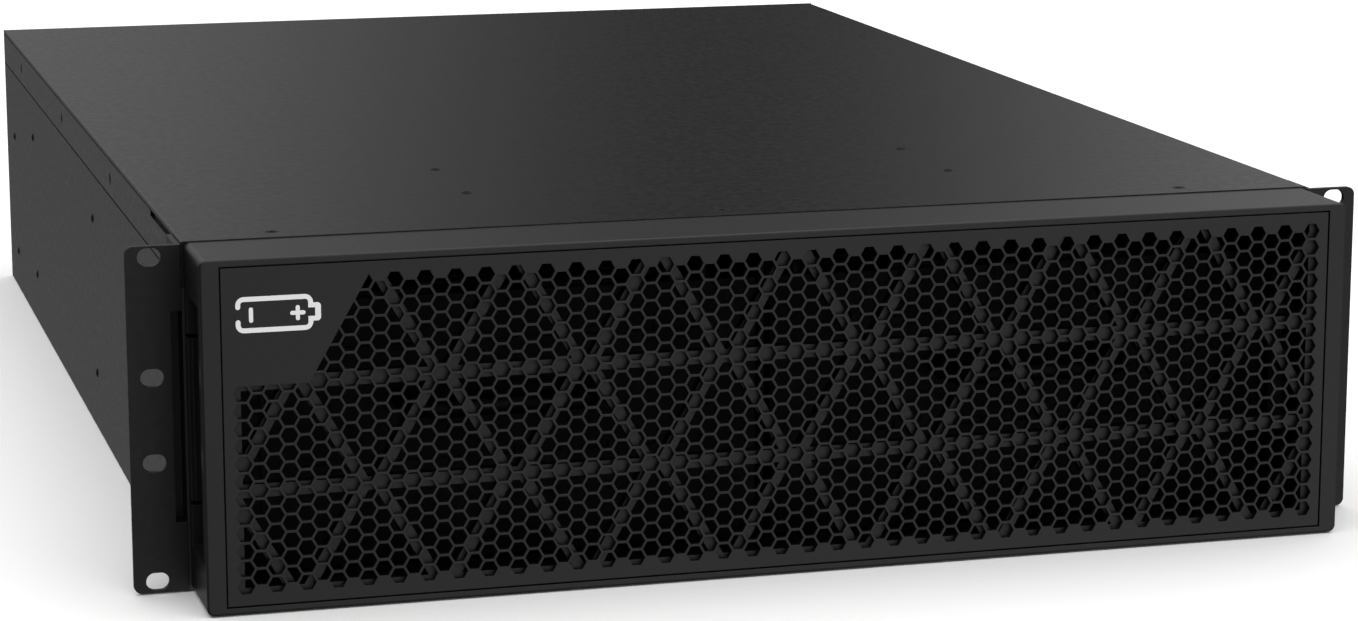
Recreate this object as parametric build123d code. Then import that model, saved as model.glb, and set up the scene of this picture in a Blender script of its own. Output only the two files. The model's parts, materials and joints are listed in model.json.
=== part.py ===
from build123d import *
import math
import os

# 19-inch, 3U battery enclosure.  Millimetres, +Z up, the front looks along -Y.
# Origin: centre of the outer rack slots, on the front plane of the rack ears.

# --- enclosure -------------------------------------------------------------
SHEET = 1.2
HALF_W = 221.0
Z_BOTTOM = -64.6
Z_TOP = 65.4
Y_FRONT = 0.5
Y_BACK = 636.0
REAR_SHEET = 1.3
SEAM_Z = 48.7
SEAM_GAP = 0.4
JOGGLE = 1.3
FLOOR_Z = Z_BOTTOM + SHEET
CEILING_Z = Z_TOP - SHEET
LIP_SLOT = (24.0, 79.0, 61.4, 63.9)

# --- rack ears -------------------------------------------------------------
EAR_OUTER = 241.3
EAR_T = 2.0
EAR_INNER = 221.1
EAR_Z = (-64.6, 64.4)
EAR_FLANGE = 22.0
EAR_CORNER_R = 3.0
SLOT_X = 232.55
SLOT_ZS = (-60.325, -15.875, 15.875, 60.325)
SLOT_LONG = 8.6
SLOT_HIGH = 6.6
NOTCH_Z = (-38.7, 40.1)
NOTCH_X = 225.2
CATCH_BOX_Y = 11.5
CATCH_BOX_T = 1.5

# --- bezel -----------------------------------------------------------------
BEZEL_HALF_W = 220.1
BEZEL_Z = (-64.55, 64.95)
BEZEL_FRONT = -37.3
BEZEL_BACK = 0.3
BEZEL_WALL = 2.4
BEZEL_R = 2.6
BEZEL_EDGE_R = 0.9
POCKET_HALF_W = 213.15
POCKET_Z = (-62.0, 62.45)
POCKET_GAP = 0.6
GRILLE_T = 2.4
LEDGE_Y = -34.8
LEDGE_BACK = -32.8
LEDGE_HALF_W = 209.6
LEDGE_HALF_H = 58.9
MID_Z = 0.25

# --- hexagon grille --------------------------------------------------------
ROW_PITCH = 6.425
COL_PITCH = ROW_PITCH * math.sqrt(3) / 2
HEX_FLATS = 5.5
HEX_COLS = 37
CORNER_Z = 19.0
CORNER_X = -181.6
CORNER_TOP = 58.0
MIN_HOLE = 1.5
SYMBOL_BOX = (-207.5, -179.8, 38.3, 51.3)
SYMBOL_LINE = 1.75
SYMBOL_RISE = 0.12

# --- lattice behind the grille --------------------------------------------
LATTICE_PITCH = 53.2
LATTICE_NODE_X = 27.0
LATTICE_BAR_Z = 19.55
LATTICE_MID = -0.25
LATTICE_BAR = 5.0
LATTICE_DIAGONAL = 4.2
LATTICE_RAIL = 3.4
LATTICE_TOP = 57.4
LATTICE_BOTTOM = -55.5
LATTICE_BACK = -29.8

# --- side grips and latches -------------------------------------------------
GRIP_MID = 0.4
GRIP_HALF = 47.0
GRIP_Y = (-31.5, -4.0)
GRIP_SKIN = 1.6
LATCH_HALF = 30.2
LATCH_SLOT = 1.6

# --- battery modules --------------------------------------------------------
MODULE_X = (3.0, 207.0)
MODULE_Y = (5.5, 474.0)
MODULE_Z = -60.8
MODULE_SHEET = 1.0
CELL = (65.0, 151.0, 94.0)
CELL_GAP = 1.5
CELL_Y = 14.0
CELL_PLACES = ((0, 0), (1, 0), (2, 0), (2, 1), (1, 1), (0, 1), (0, 2), (1, 2))
TAB_OFFSET = 20.0
TAB_TOP = 6.2
LEAD_R = 2.6
PLUG_X = 170.0
PLUG_Z = -20.0
BULKHEAD_Y = 500.0

# --- rear connections --------------------------------------------------------
DC_XS = (-70.0, 30.0)
DC_Z = -8.0
DC_WELL = (26.0, 27.0)
DC_WELL_PITCH = 29.0
JACK_XS = (-166.0, -142.0)
JACK_Z = -8.0
BREAKER_X = 130.0
BREAKER_Z = -4.0
BREAKER_OPEN = (54.4, 46.4)
STUD_X = 192.0
STUD_Z = -46.0
TOGGLE_Y = 633.5

# --- fasteners ---------------------------------------------------------------
FRONT_SCREWS = ((-186.0, 11.3), (-14.5, 11.3), (171.5, 11.3))
COVER_RIVETS = ((-99.0, 75.0), (-99.0, 133.0), (99.0, 75.0), (99.0, 133.0))
LIP_SCREW_YS = (202.0, 376.0, 552.0)
LIP_SCREW_Z = 56.3
SIDE_RIVETS = ((267.0, 28.6), (267.0, -39.4), (506.0, 28.2), (506.0, -40.2), (597.0, 15.3), (597.0, -44.7))
EAR_SCREWS = (-58.0, -44.0, 44.3)
CLEARANCE = 0.1
BALL_STUDS = ((-212.0, 55.5), (212.0, 55.5), (-212.0, -55.5), (212.0, -55.5))

os.makedirs("parts", exist_ok=True)


# --- helpers ------------------------------------------------------------------
def block(x0, x1, y0, y1, z0, z1):
    """Box between two corners, given in any order."""
    size = (abs(x1 - x0), abs(y1 - y0), abs(z1 - z0))
    return Pos((x0 + x1) / 2, (y0 + y1) / 2, (z0 + z1) / 2) * Box(*size)


def side_block(side, x0, x1, y0, y1, z0, z1):
    """Box given for the right side, mirrored to the left when side is -1."""
    return block(side * x0, side * x1, y0, y1, z0, z1)


def front_plane(y_back):
    """Plane whose sketch axes are +X and +Z, extruding towards the front."""
    return Plane(origin=(0, y_back, 0), x_dir=(1, 0, 0), z_dir=(0, -1, 0))


def wall(sketch, y_front, y_back):
    """A sketch in X and Z, made solid from y_front to y_back."""
    return extrude(front_plane(y_back) * sketch, amount=y_back - y_front)


def rod(radius, start, end):
    """Round bar from one point to another."""
    axis = Vector(*end) - Vector(*start)
    plane = Plane(origin=start, z_dir=axis)
    return extrude(plane * Circle(radius), amount=axis.length)


def tube(radius, bend, *points):
    """Round cable along straight runs joined by tangent arcs."""
    path = FilletPolyline(*points, radius=bend)
    section = Plane(origin=path @ 0, z_dir=path % 0) * Circle(radius)
    return sweep(section, path=path)


def flush_screw(point, outward, head_r, shaft_r, length):
    """Countersunk cross-head screw; point is the middle of the head's face."""
    plane = Plane(origin=point, z_dir=outward)
    cone = Pos(0, 0, -head_r / 4) * Cone(shaft_r, head_r, head_r / 2)
    shaft = Pos(0, 0, -length / 2) * Cylinder(shaft_r, length)
    recess = Box(head_r, head_r / 4, head_r / 2) + Box(head_r / 4, head_r, head_r / 2)
    return plane * (cone + shaft - recess)


def screw_hole(point, outward, head_r, shaft_r, length):
    """The clearance that flush_screw needs."""
    plane = Plane(origin=point, z_dir=outward)
    head = head_r + CLEARANCE
    shaft = shaft_r + CLEARANCE
    cone = Pos(0, 0, -head_r / 4) * Cone(shaft, head, head_r / 2 + 2 * CLEARANCE)
    return plane * (cone + Pos(0, 0, -length / 2) * Cylinder(shaft, length + 2 * CLEARANCE))


def dome_rivet(point, outward, head_r, depth):
    """Low round-headed rivet; point is where the head meets the sheet."""
    height = head_r / 3
    sphere_r = (head_r**2 + height**2) / (2 * height)
    head = Pos(0, 0, height - sphere_r) * Sphere(sphere_r)
    head = head & (Pos(0, 0, height) * Cylinder(head_r + 1, 2 * height))
    shank = Pos(0, 0, -depth / 2) * Cylinder(head_r / 2, depth)
    return Plane(origin=point, z_dir=outward) * (head + shank)


def rivet_hole(point, outward, head_r, depth):
    """The clearance that the shank of dome_rivet needs."""
    hole = Pos(0, 0, -depth / 2) * Cylinder(head_r / 2 + CLEARANCE, depth + 2)
    return Plane(origin=point, z_dir=outward) * hole


def save(name, *shapes):
    """One STEP file per node, holding one or more separate solids."""
    solids = []
    for shape in shapes:
        solids.extend(shape.solids())
    body = solids[0] if len(solids) == 1 else Compound(children=solids)
    body.label = name
    export_step(body, f"parts/{name}.step")


def cut_all(shape, tools):
    """Takes a list of tools out of a shape in one operation."""
    return shape - list(tools)


# --- fastener places -------------------------------------------------------------
def lip_screw_places():
    return [((side * HALF_W, y, LIP_SCREW_Z), (side, 0, 0)) for side in (-1, 1) for y in LIP_SCREW_YS]


def front_screw_places():
    return [((x, y, Z_TOP), (0, 0, 1)) for x, y in FRONT_SCREWS]


def side_rivet_places():
    return [((side * HALF_W, y, z), (side, 0, 0)) for side in (-1, 1) for y, z in SIDE_RIVETS]


def top_rivet_places():
    return [((x, y, Z_TOP), (0, 0, 1)) for x, y in COVER_RIVETS]


def ear_screw_places():
    face = EAR_INNER + EAR_T
    return [((side * face, 16.0, z), (side, 0, 0)) for side in (-1, 1) for z in EAR_SCREWS]


def rear_screw_places():
    spots = [(x, z) for x in (-212.0, -70.0, 70.0, 212.0) for z in (Z_BOTTOM + 6, Z_TOP - 6)]
    return [((x, Y_BACK + REAR_SHEET, z), (0, 1, 0)) for x, z in spots]


COVER_SCREW = (2.6, 1.4, 6.0)
EAR_SCREW = (3.8, 1.9, 8.0)
REAR_SCREW = (2.8, 1.4, 7.0)
RIVET = (2.1, 3.0)


# --- enclosure sheet metal ---------------------------------------------------------
def base_tray():
    """Floor and both side walls, joggled inwards under the cover's lips."""
    half = [
        (HALF_W, Z_BOTTOM),
        (HALF_W, SEAM_Z - SEAM_GAP),
        (HALF_W - JOGGLE, SEAM_Z - SEAM_GAP / 2),
        (HALF_W - JOGGLE, CEILING_Z - CLEARANCE),
        (HALF_W - JOGGLE - SHEET, CEILING_Z - CLEARANCE),
        (HALF_W - JOGGLE - SHEET, SEAM_Z - SHEET),
        (HALF_W - SHEET, SEAM_Z - SHEET - SEAM_GAP),
        (HALF_W - SHEET, FLOOR_Z),
    ]
    outline = half + [(-x, z) for x, z in reversed(half)]
    tray = wall(make_face(Polyline(*outline, close=True)), Y_FRONT, Y_BACK)
    cuts = [screw_hole(p, d, *COVER_SCREW) for p, d in lip_screw_places()]
    cuts += [rivet_hole(p, d, *RIVET) for p, d in side_rivet_places()]
    cuts += [screw_hole(p, d, *EAR_SCREW) for p, d in ear_screw_places()]
    cuts += [block(x - 40, x + 40, y, y + 3, Z_BOTTOM - 1, FLOOR_Z + 1) for x in (-105, 105)
             for y in range(560, 620, 8)]
    return cut_all(tray, cuts)


def top_cover():
    """Lid with two side lips that end at the seam."""
    lip = HALF_W - SHEET
    half = [
        (HALF_W, SEAM_Z),
        (HALF_W, Z_TOP),
    ]
    inner = [
        (-lip, SEAM_Z),
        (-lip, CEILING_Z),
        (lip, CEILING_Z),
        (lip, SEAM_Z),
    ]
    outline = half + [(-x, z) for x, z in reversed(half)] + inner
    cover = wall(make_face(Polyline(*outline, close=True)), Y_FRONT, Y_BACK)
    folds = cover.edges().filter_by(Axis.Y).group_by(Axis.Z)[-1]
    cover = fillet(folds, 0.9)
    y0, y1, z0, z1 = LIP_SLOT
    cuts = [side_block(s, lip - 1, HALF_W + 1, y0, y1, z0, z1) for s in (-1, 1)]
    cuts += [screw_hole(p, d, *COVER_SCREW) for p, d in lip_screw_places() + front_screw_places()]
    cuts += [rivet_hole(p, d, *RIVET) for p, d in top_rivet_places()]
    return cut_all(cover, cuts)


def front_frame():
    """Ring behind the bezel that carries its ball studs, flanged under the cover."""
    outer_w = HALF_W - JOGGLE - SHEET
    z_top = CEILING_Z - CLEARANCE
    ring = block(-outer_w, outer_w, 2.0, 3.2, FLOOR_Z, z_top)
    ring -= block(-208, 208, 1, 5, -61.0, 57.0)
    flange = block(-outer_w, outer_w, 3.2, 20.0, z_top - SHEET, z_top)
    cuts = [screw_hole(p, d, *COVER_SCREW) for p, d in front_screw_places()]
    cuts += [rod(2.0 + CLEARANCE, (x, -1, z), (x, 8, z)) for x, z in BALL_STUDS]
    return cut_all(ring + flange, cuts)


def rear_vents():
    """Rows of upright ventilation slots in the rear panel."""
    cuts = []
    for row_z in (30.0, 46.0):
        for i in range(40):
            x = -195.0 + i * 10.0
            cuts.append(block(x - 2, x + 2, Y_BACK - 1, Y_BACK + 3, row_z - 5, row_z + 5))
    return cuts


def rear_panel():
    """Back plate with the openings for the connections."""
    plate = block(-HALF_W, HALF_W, Y_BACK, Y_BACK + REAR_SHEET, Z_BOTTOM, Z_TOP)
    far = Y_BACK + 3
    near = Y_BACK - 1
    cuts = rear_vents()
    for x in DC_XS:
        cuts.append(block(x - 31.1, x + 31.1, near, far, DC_Z - 17.1, DC_Z + 17.1))
    for x in JACK_XS:
        cuts.append(block(x - 8.1, x + 8.1, near, far, JACK_Z - 7.1, JACK_Z + 7.1))
    w, h = BREAKER_OPEN
    cuts.append(block(BREAKER_X - w / 2, BREAKER_X + w / 2, near, far, BREAKER_Z - h / 2, BREAKER_Z + h / 2))
    cuts.append(rod(2.5 + CLEARANCE, (STUD_X, near, STUD_Z), (STUD_X, far, STUD_Z)))
    cuts += [screw_hole(p, d, *REAR_SCREW) for p, d in rear_screw_places()]
    return cut_all(plate, cuts)


def rear_bracket(side):
    """Upright angle in a back corner that takes the rear panel's screws."""
    inner = HALF_W - JOGGLE - SHEET
    sheet = side_block(side, inner - 1.2, inner, 585, Y_BACK, FLOOR_Z, CEILING_Z - CLEARANCE)
    foot = side_block(side, inner - 14, inner - 1.2, Y_BACK - 1.2, Y_BACK, FLOOR_Z, CEILING_Z - CLEARANCE)
    cuts = [screw_hole(p, d, *REAR_SCREW) for p, d in rear_screw_places()]
    cuts += [rivet_hole(p, d, RIVET[0], 8.0) for p, d in side_rivet_places()]
    return cut_all(sheet + foot, cuts)


def rack_ear(side):
    """Bent ear: slotted plate, flange along the side, and a closed catch box behind its notch."""
    z0, z1 = EAR_Z
    plate = side_block(side, EAR_INNER, EAR_OUTER, 0, EAR_T, z0, z1)
    corners = plate.edges().filter_by(Axis.Y).sort_by(Axis.X)
    outer = corners[:2] if side < 0 else corners[-2:]
    plate = fillet(outer, EAR_CORNER_R)
    flange = side_block(side, EAR_INNER, EAR_INNER + EAR_T, EAR_T, EAR_FLANGE, z0, z1)
    cuts = []
    for z in SLOT_ZS:
        shape = Pos(side * SLOT_X, z) * SlotOverall(SLOT_LONG, SLOT_HIGH)
        cuts.append(wall(shape, -1, EAR_T + 1))
    n0, n1 = NOTCH_Z
    t = CATCH_BOX_T
    catch_box = side_block(side, EAR_INNER, NOTCH_X + t, EAR_T, CATCH_BOX_Y, n0 - t, n1 + t)
    cuts.append(side_block(side, EAR_INNER - 1, NOTCH_X, -1, CATCH_BOX_Y - t, n0, n1))
    cuts += [screw_hole(p, d, *EAR_SCREW) for p, d in ear_screw_places() if p[0] * side > 0]
    return cut_all(plate + flange + catch_box, cuts)


# --- inside the enclosure -------------------------------------------------------------
def centre_divider():
    """Upright sheet between the two battery bays, with a foot along the floor."""
    sheet = block(-0.6, 0.6, 6.0, BULKHEAD_Y - 1, FLOOR_Z, CEILING_Z - 2)
    foot = block(-2.6, 2.6, 20.0, BULKHEAD_Y - 1, FLOOR_Z, FLOOR_Z + 1.2)
    return sheet + foot


def bay_rails():
    """Low-friction strips that each module slides on."""
    rails = []
    for x in (22.0, 105.0, 188.0):
        for side in (-1, 1):
            rails.append(side_block(side, x - 6, x + 6, 24, BULKHEAD_Y - 4, FLOOR_Z, MODULE_Z - CLEARANCE))
    return rails


def hold_down(side):
    """Hat bracket under the cover that keeps the cells from lifting."""
    top = CEILING_Z - CLEARANCE
    hat = side_block(side, 84, 114, 62, 146, 46, top)
    hat -= side_block(side, 80, 118, 63.2, 144.8, 47.2, top - 1.2)
    hat -= side_block(side, 80, 118, 90, 118, top - 2, top + 1)
    cuts = [rivet_hole(p, d, RIVET[0], 5.0) for p, d in top_rivet_places()]
    return cut_all(hat, cuts)


def rear_bulkhead():
    """Cross wall behind the modules that carries the module sockets."""
    w = HALF_W - JOGGLE - SHEET
    y1 = BULKHEAD_Y + SHEET
    sheet = block(-w, w, BULKHEAD_Y, y1, FLOOR_Z, CEILING_Z - 0.2)
    tabs = []
    for s in (-1, 1):
        tabs.append(side_block(s, w - SHEET, w, y1, y1 + 11, FLOOR_Z, CEILING_Z - 0.2))
    cuts = [rivet_hole(p, d, RIVET[0], 8.0) for p, d in side_rivet_places()]
    for s in (-1, 1):
        x = s * PLUG_X
        cuts.append(block(x - 21.1, x + 21.1, BULKHEAD_Y - 1, y1 + 1, PLUG_Z - 13.1, PLUG_Z + 13.1))
    cuts += [rod(9, (x, BULKHEAD_Y - 1, 46), (x, y1 + 1, 46)) for x in (-180, -60, 60, 180)]
    return cut_all(sheet + tabs[0] + tabs[1], cuts)


def module_socket(side):
    """Blind-mate socket in the bulkhead, open towards the module."""
    x = side * PLUG_X
    y0 = BULKHEAD_Y
    body = block(x - 21, x + 21, y0 - 14, y0 + 12, PLUG_Z - 13, PLUG_Z + 13)
    rim = block(x - 26, x + 26, y0 - 3, y0, PLUG_Z - 18, PLUG_Z + 18)
    body = fillet(body.edges().filter_by(Axis.Y), 2.0)
    pocket = block(x - 16.4, x + 16.4, y0 - 15, y0 - 1, PLUG_Z - 8.4, PLUG_Z + 8.4)
    leads = [rod(3.6, (x + dx, y0 + 2, PLUG_Z), (x + dx, y0 + 13, PLUG_Z)) for dx in (-9, 9)]
    return cut_all(body + rim, [pocket] + leads)


def breaker_body():
    """Three-pole DC breaker, its face through the rear panel."""
    w, h = BREAKER_OPEN
    w -= 0.4
    h -= 0.4
    y1 = Y_BACK + REAR_SHEET + 1.2
    nose = block(BREAKER_X - w / 2, BREAKER_X + w / 2, 600, y1, BREAKER_Z - h / 2, BREAKER_Z + h / 2)
    nose = fillet(nose.faces().sort_by(Axis.Y)[-1].edges(), 0.8)
    body = block(BREAKER_X - w / 2, BREAKER_X + w / 2, 560, 612, BREAKER_Z - 42, BREAKER_Z + 42)
    cuts = [block(BREAKER_X - 9.0, BREAKER_X + 9.0, TOGGLE_Y - 9.0, y1 + 1, BREAKER_Z - 13, BREAKER_Z + 13)]
    for pole in (-9, 9):
        x = BREAKER_X + pole
        cuts.append(block(x - 0.3, x + 0.3, y1 - 0.8, y1 + 1, BREAKER_Z - h, BREAKER_Z + h))
    for z in (-44, 44):
        for dx in (-18, 0, 18):
            x = BREAKER_X + dx
            cuts.append(rod(4.4, (x, 586, BREAKER_Z + z), (x, 586, BREAKER_Z + 0.72 * z)))
    return cut_all(nose + body, cuts)


def breaker_toggle():
    """Rocking toggle on its own cross pin, shown switched off."""
    hub = rod(6.0, (BREAKER_X - 8.6, TOGGLE_Y, BREAKER_Z), (BREAKER_X + 8.6, TOGGLE_Y, BREAKER_Z))
    lever = block(BREAKER_X - 8.0, BREAKER_X + 8.0, TOGGLE_Y, TOGGLE_Y + 17, BREAKER_Z - 3.2, BREAKER_Z + 3.2)
    lever = fillet(lever.faces().sort_by(Axis.Y)[-1].edges(), 1.2)
    pin = rod(1.5 + 0.05, (BREAKER_X - 10, TOGGLE_Y, BREAKER_Z), (BREAKER_X + 10, TOGGLE_Y, BREAKER_Z))
    turned = Rot(-25, 0, 0)
    about = Pos(BREAKER_X, TOGGLE_Y, BREAKER_Z)
    shape = about * turned * about.inverse() * (hub + lever)
    return shape - pin


def breaker_pin():
    """Steel pin that the toggle turns on."""
    return rod(1.5, (BREAKER_X - 9.0, TOGGLE_Y, BREAKER_Z), (BREAKER_X + 9.0, TOGGLE_Y, BREAKER_Z))


def dc_socket(x):
    """Rectangular DC power socket with two deep contact wells."""
    y1 = Y_BACK + REAR_SHEET
    flange = block(x - 37, x + 37, y1, y1 + 3.0, DC_Z - 20, DC_Z + 20)
    flange = fillet(flange.edges().filter_by(Axis.Y), 3.0)
    shell = block(x - 31, x + 31, Y_BACK - 34, y1 + 9.0, DC_Z - 17, DC_Z + 17)
    shell = fillet(shell.faces().sort_by(Axis.Y)[-1].edges(), 1.0)
    cuts = []
    w, h = DC_WELL
    for dx in (-DC_WELL_PITCH / 2, DC_WELL_PITCH / 2):
        cuts.append(block(x + dx - w / 2, x + dx + w / 2, Y_BACK - 28, y1 + 12, DC_Z - h / 2, DC_Z + h / 2))
        cuts.append(rod(4.6, (x + dx, Y_BACK - 40, DC_Z), (x + dx, Y_BACK - 20, DC_Z)))
    for dx in (-34, 34):
        cuts.append(rod(1.7, (x + dx, y1 - 5, DC_Z), (x + dx, y1 + 5, DC_Z)))
    return cut_all(flange + shell, cuts)


def well_xs():
    """Centres of the four wells in the two DC sockets."""
    return [x + dx for x in DC_XS for dx in (-DC_WELL_PITCH / 2, DC_WELL_PITCH / 2)]


def dc_contacts():
    """Silvered contact blades standing in the wells of the DC sockets."""
    blades = []
    for x in well_xs():
        blade = block(x - 6, x + 6, Y_BACK - 20, Y_BACK + 2, DC_Z - 2, DC_Z + 2)
        blade = fillet(blade.faces().sort_by(Axis.Y)[-1].edges().filter_by(Axis.X), 1.0)
        barrel = rod(4.5, (x, Y_BACK - 36, DC_Z), (x, Y_BACK - 20, DC_Z))
        blades.append(blade + barrel)
    return blades


def comms_board():
    """Small circuit board behind the signal jacks."""
    board = block(-178, -130, 618.0, 619.6, -30, 20)
    return cut_all(board, [rod(1.6, (x, 617, z), (x, 621, z)) for x in (-174, -134) for z in (-26, 16)])


def comms_jack(x):
    """Modular signal jack, open to the rear."""
    y1 = Y_BACK + REAR_SHEET + 0.8
    body = block(x - 8, x + 8, 619.6, y1, JACK_Z - 7, JACK_Z + 7)
    mouth = block(x - 5.9, x + 5.9, 623, y1 + 1, JACK_Z - 4.2, JACK_Z + 3.0)
    key = block(x - 3.0, x + 3.0, 623, y1 + 1, JACK_Z + 2.0, JACK_Z + 5.4)
    return body - mouth - key


def board_posts():
    """Spacers and screws that hold the signal board to the rear panel."""
    posts = []
    for x in (-174, -134):
        for z in (-26, 16):
            hexagon = Pos(x, z) * RegularPolygon(2.9, 6)
            posts.append(wall(hexagon, 619.6, Y_BACK) + rod(1.5, (x, 616, z), (x, 620, z)))
    return posts


def ground_stud():
    """Threaded earth stud through the rear panel."""
    return rod(2.5, (STUD_X, Y_BACK - 12, STUD_Z), (STUD_X, Y_BACK + REAR_SHEET + 14, STUD_Z))


def stud_nut(y0, y1):
    hexagon = Pos(STUD_X, STUD_Z) * RegularPolygon(4.6, 6)
    nut = wall(hexagon, y0, y1)
    return nut - rod(2.5 + 0.02, (STUD_X, y0 - 1, STUD_Z), (STUD_X, y1 + 1, STUD_Z))


def fuse_holder():
    """Moulded base of the main fuse, on the floor of the rear bay."""
    base = block(-30, 40, 530, 556, FLOOR_Z, FLOOR_Z + 12)
    ends = [block(x, x + 10, 530, 556, FLOOR_Z + 12, FLOOR_Z + 26) for x in (-30, 30)]
    saddle = [rod(9.1, (x, 543, -30), (x + 12, 543, -30)) for x in (-31, 29)]
    return cut_all(base + ends[0] + ends[1], saddle)


def main_fuse():
    """Cylindrical fuse link lying in its holder."""
    return rod(9.0, (-33, 543, -30), (43, 543, -30))


def power_cables():
    """Cables of the rear bay, each clear of the others."""
    s_y = BULKHEAD_Y + 12.5
    inner = PLUG_X - 9
    outer = PLUG_X + 9
    top_z = BREAKER_Z + 41.6
    link = tube(3.5, 14, (-inner, s_y - 10, PLUG_Z), (-inner, s_y + 30, PLUG_Z), (-inner, s_y + 30, 20),
                (inner, s_y + 30, 20), (inner, s_y + 30, PLUG_Z), (inner, s_y - 10, PLUG_Z))
    feed = tube(3.5, 10, (outer, s_y - 10, PLUG_Z), (outer, s_y + 12, PLUG_Z), (outer, s_y + 12, 50),
                (BREAKER_X + 18, s_y + 12, 50), (BREAKER_X + 18, 586, 50), (BREAKER_X + 18, 586, top_z - 8))
    back = tube(3.5, 10, (-outer, s_y - 10, PLUG_Z), (-outer, s_y + 18, PLUG_Z), (-outer, s_y + 18, -48),
                (-60, s_y + 18, -48), (-60, 543, -30), (-33.5, 543, -30))
    return link, feed, back


def dc_busbar(x_from, x_to, up):
    """Copper strip with two tabs that joins wells of the same pole."""
    y1 = Y_BACK - 36.0
    y0 = y1 - 2.0
    strip = block(x_from - 4.5, x_to + 4.5, y0, y1, DC_Z + 7 * up, DC_Z + 15 * up)
    tabs = [block(x - 4.5, x + 4.5, y0, y1, DC_Z - 4 * up, DC_Z + 7 * up) for x in (x_from, x_to)]
    return strip + tabs[0] + tabs[1]


def output_cables():
    """From the breaker and the fuse to the busbars of the DC sockets."""
    y_end = Y_BACK - 38.1
    xs = well_xs()
    plus = tube(3.5, 9, (BREAKER_X, 586, BREAKER_Z + 34), (BREAKER_X, 586, 50), (xs[3], 586, 50),
                (xs[3], 586, DC_Z), (xs[3], y_end, DC_Z))
    minus = tube(3.5, 9, (43.5, 543, -30), (60, 543, -30), (60, 570, -30), (xs[2], 570, -30),
                 (xs[2], 584, DC_Z), (xs[2], y_end, DC_Z))
    return plus, minus


# --- bezel -----------------------------------------------------------------------------
def bezel_frame():
    """Moulded surround: rim, ledge for the grille, and a grip in each side."""
    z0, z1 = BEZEL_Z
    height = z1 - z0
    mid = (z0 + z1) / 2
    outer = wall(Pos(0, mid) * RectangleRounded(2 * BEZEL_HALF_W, height, BEZEL_R), BEZEL_FRONT, BEZEL_BACK)
    outer = fillet(outer.faces().sort_by(Axis.Y)[0].edges(), BEZEL_EDGE_R)
    inner_w = BEZEL_HALF_W - BEZEL_WALL
    inner_h = height - 2 * BEZEL_WALL
    hollow = wall(Pos(0, mid) * RectangleRounded(2 * inner_w, inner_h, 2.0), LEDGE_BACK, BEZEL_BACK + 1)
    p0, p1 = POCKET_Z
    pocket = block(-POCKET_HALF_W, POCKET_HALF_W, BEZEL_FRONT - 1, LEDGE_Y, p0, p1)
    mouth = block(-LEDGE_HALF_W, LEDGE_HALF_W, BEZEL_FRONT - 1, LEDGE_BACK + 1,
                  MID_Z - LEDGE_HALF_H, MID_Z + LEDGE_HALF_H)
    shell = outer - hollow - pocket - mouth
    for side in (-1, 1):
        shell = add_grip(shell, side, inner_w)
    return shell


def add_grip(shell, side, inner_w):
    """Finger recess in one side of the bezel, with the window for its latch."""
    low = GRIP_MID - GRIP_HALF
    high = GRIP_MID + GRIP_HALF
    y0, y1 = GRIP_Y
    back = inner_w - 4.6
    skin = side_block(side, back, inner_w + 0.2, LEDGE_BACK - 0.2, y1 + 3.0,
                      low - GRIP_SKIN, high + GRIP_SKIN)
    recess = side_block(side, back + GRIP_SKIN, BEZEL_HALF_W + 1, y0, y1, low, high)
    reach = LATCH_HALF + LATCH_SLOT
    window = side_block(side, back - 1, BEZEL_HALF_W + 1, y1 - 2.0, BEZEL_BACK + 1, GRIP_MID - reach,
                        GRIP_MID + reach)
    return shell + skin - recess - window


def latch(side):
    """Spring tongue between the two relief slots of a grip, with a catch inside."""
    low = GRIP_MID - LATCH_HALF
    high = GRIP_MID + LATCH_HALF
    y1 = GRIP_Y[1]
    tongue = side_block(side, 216.0, BEZEL_HALF_W, y1, BEZEL_BACK, low, high)
    ridges = []
    for x0, x1 in ((219.3, 220.1), (217.7, 218.3)):
        ridges.append(side_block(side, x0, x1, y1 - 0.6, y1, low, high))
    catch = side_block(side, 214.6, 216.0, y1 + 0.8, BEZEL_BACK + 1.2, GRIP_MID - 9, GRIP_MID + 9)
    return tongue + ridges[0] + ridges[1] + catch


def hexagon_wire(x, z, flats=HEX_FLATS):
    """Closed hexagon with its flats at top and bottom."""
    radius = flats / math.sqrt(3)
    points = [(x + radius * math.cos(a), z + radius * math.sin(a))
              for a in (math.radians(60 * i) for i in range(6))]
    return Polyline(*points, close=True)


def hexagon_centres():
    """Centres of all holes; odd columns hold one hole more than even ones."""
    centres = []
    for k in range(-HEX_COLS, HEX_COLS + 1):
        count = 18 if k % 2 else 17
        for i in range(count):
            centres.append((k * COL_PITCH, MID_Z + (i - (count - 1) / 2) * ROW_PITCH))
    return centres


def corner_offset(x, z):
    """How far a point is outside the solid corner; negative is inside."""
    below = CORNER_Z - z
    along = ((x - CORNER_X) - (z - CORNER_Z) / math.sqrt(3)) * math.sqrt(3) / 2
    return max(below, along)


def solid_corner():
    """Outline of the closed upper-left corner that carries the symbol."""
    rise = CORNER_TOP + 10 - CORNER_Z
    points = [(-POCKET_HALF_W - 2, CORNER_Z), (CORNER_X, CORNER_Z),
              (CORNER_X + rise / math.sqrt(3), CORNER_TOP + 10), (-POCKET_HALF_W - 2, CORNER_TOP + 10)]
    return make_face(Polyline(*points, close=True))


def grille_wires():
    """Outline of every hole, trimmed where it meets the solid corner."""
    corner = solid_corner()
    reach = HEX_FLATS / math.sqrt(3)
    wires = []
    for x, z in hexagon_centres():
        offset = corner_offset(x, z)
        if offset > reach:
            wires.append(Wire(hexagon_wire(x, z).edges()))
            continue
        if offset < -reach:
            continue
        rest = make_face(hexagon_wire(x, z)) - corner
        wires += [f.outer_wire() for f in rest.faces() if f.area > MIN_HOLE]
    return wires


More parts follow.
